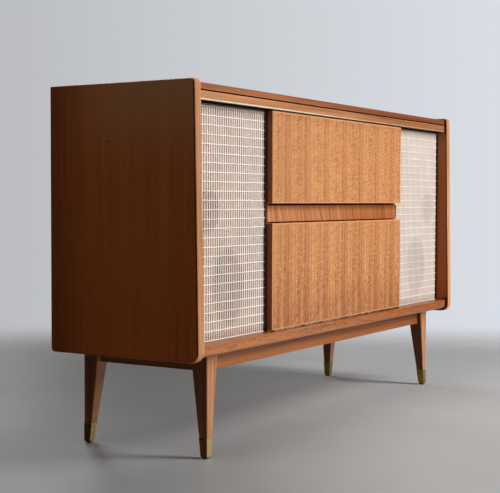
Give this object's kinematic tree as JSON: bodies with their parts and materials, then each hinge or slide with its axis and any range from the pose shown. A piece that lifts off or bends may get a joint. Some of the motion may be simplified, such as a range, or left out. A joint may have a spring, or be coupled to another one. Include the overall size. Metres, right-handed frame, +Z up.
{
  "type": "stereo console",
  "caption": "Low veneered stereo console on tapered brass-tipped legs, with cloth speaker bays beside a lift-up flap over a receiver and a fall flap over a record changer.",
  "frame": {"origin": "on the floor, at the middle of the cabinet's width and depth", "axes": "+X along the cabinet to the right as seen from the front, +Y to the back, +Z up; the doors face -Y"},
  "size_m": [1.4, 0.3956, 0.8076],
  "materials": {
    "veneer": "satin lacquered ribbon-figured veneer",
    "side_veneer": "satin lacquered straight-grained veneer",
    "inner_board": "plain stained board",
    "hardboard": "matt brown hardboard",
    "grille_cloth": "woven cloth with raised cords",
    "pale_bead": "cream bead",
    "brass": "satin brass, aged",
    "nickel": "dull nickel plate",
    "speaker_card": "black card and frame",
    "grey_steel": "grey plated sheet",
    "fascia": "dark brown moulding",
    "dial_glass": "clear dial glass",
    "ivory": "ivory moulding",
    "knob": "brown moulding",
    "deck_enamel": "cream enamel",
    "rubber": "black rubber"
  },
  "bodies": {
    "cabinet": {"back_panel": "hardboard", "bottom_board": "veneer", "changer_deck": "deck_enamel", "changer_plinth": "inner_board", "dial_glass": "dial_glass", "front_apron": "veneer", "front_left_ferrule": "brass", "front_left_leg": "veneer", "front_right_ferrule": "brass", "front_right_leg": "veneer", "lead_bush": "rubber", "left_apron": "veneer", "left_baffle": "inner_board", "left_grille_cloth": "grille_cloth", "left_partition": "inner_board", "left_side_panel": "side_veneer", "left_tweeter": "speaker_card", "left_woofer": "speaker_card", "lower_hinge_fixed_leaf": "nickel", "lower_stay_stud": "nickel", "middle_shelf": "inner_board", "pull_strip": "veneer", "rail_bead": "pale_bead", "rear_apron": "veneer", "rear_left_ferrule": "brass", "rear_left_leg": "veneer", "rear_right_ferrule": "brass", "rear_right_leg": "veneer", "receiver_chassis": "grey_steel", "receiver_fascia": "fascia", "right_apron": "veneer", "right_baffle": "inner_board", "right_grille_cloth": "grille_cloth", "right_partition": "inner_board", "right_side_panel": "side_veneer", "right_tweeter": "speaker_card", "right_woofer": "speaker_card", "spindle": "nickel", "top_board": "veneer", "top_rail": "veneer", "upper_hinge_fixed_leaf": "nickel", "upper_stay_stud": "nickel"},
    "upper_flap": {"upper_door": "veneer", "upper_hinge_door_leaf": "nickel", "upper_stay_bracket": "nickel"},
    "upper_arm": {"upper_stay_arm": "nickel"},
    "lower_flap": {"lower_door": "veneer", "lower_hinge_door_leaf": "nickel", "lower_stay_bracket": "nickel"},
    "lower_arm": {"lower_stay_arm": "nickel"},
    "tuning": {"tuning_knob": "knob"},
    "pointer": {"dial_pointer": "ivory"},
    "volume": {"volume_knob": "knob"},
    "key_one": {"key_1": "ivory"},
    "key_two": {"key_2": "ivory"},
    "key_three": {"key_3": "ivory"},
    "key_four": {"key_4": "ivory"},
    "turntable": {"platter": "rubber"},
    "pickup_arm": {"tone_arm": "ivory"}
  },
  "joints": [
    {"name": "upper_door_lift", "type": "hinge", "parent": "cabinet", "child": "upper_flap", "pos_m": [0, -0.1743, 0.7648], "axis": [-1, 0, 0], "range_deg": [0, 90]},
    {"name": "upper_stay_turn", "type": "hinge", "parent": "upper_flap", "child": "upper_arm", "pos_m": [0.332, -0.1475, 0.6648], "axis": [-1, 0, 0], "range_deg": [-45, 0]},
    {"name": "lower_door_fall", "type": "hinge", "parent": "cabinet", "child": "lower_flap", "pos_m": [0, -0.1743, 0.2547], "axis": [1, 0, 0], "range_deg": [0, 90]},
    {"name": "lower_stay_turn", "type": "hinge", "parent": "lower_flap", "child": "lower_arm", "pos_m": [0.332, -0.1475, 0.3747], "axis": [1, 0, 0], "range_deg": [-45, 0]},
    {"name": "tuning_turn", "type": "hinge", "parent": "cabinet", "child": "tuning", "pos_m": [0.251, -0.1175, 0.6951], "axis": [0, 1, 0], "range_deg": [-900, 900]},
    {"name": "dial_pointer_slide", "type": "slide", "parent": "cabinet", "child": "pointer", "axis": [1, 0, 0], "range_m": [-0.16, 0.16]},
    {"name": "volume_turn", "type": "hinge", "parent": "cabinet", "child": "volume", "pos_m": [-0.251, -0.1175, 0.6951], "axis": [0, 1, 0], "range_deg": [-150, 150]},
    {"name": "key_one_press", "type": "slide", "parent": "cabinet", "child": "key_one", "axis": [0, 1, 0], "range_m": [0, 0.005], "stiffness_N_per_m": 250},
    {"name": "key_two_press", "type": "slide", "parent": "cabinet", "child": "key_two", "axis": [0, 1, 0], "range_m": [0, 0.005], "stiffness_N_per_m": 250},
    {"name": "key_three_press", "type": "slide", "parent": "cabinet", "child": "key_three", "axis": [0, 1, 0], "range_m": [0, 0.005], "stiffness_N_per_m": 250},
    {"name": "key_four_press", "type": "slide", "parent": "cabinet", "child": "key_four", "axis": [0, 1, 0], "range_m": [0, 0.005], "stiffness_N_per_m": 250},
    {"name": "platter_spin", "type": "hinge", "parent": "cabinet", "child": "turntable", "pos_m": [-0.035, 0.01625, 0.3212], "axis": [0, 0, 1], "continuous": true},
    {"name": "tone_arm_swing", "type": "hinge", "parent": "cabinet", "child": "pickup_arm", "pos_m": [0.15, 0.1112, 0.3179], "axis": [0, 0, -1], "range_deg": [0, 46]}
  ],
  "couplings": [
    {"joint": "upper_stay_turn", "follows": "upper_door_lift", "ratio": -0.5},
    {"joint": "lower_stay_turn", "follows": "lower_door_fall", "ratio": -0.5},
    {"joint": "dial_pointer_slide", "follows": "tuning_turn", "m_per_rad": 0.01}
  ]
}
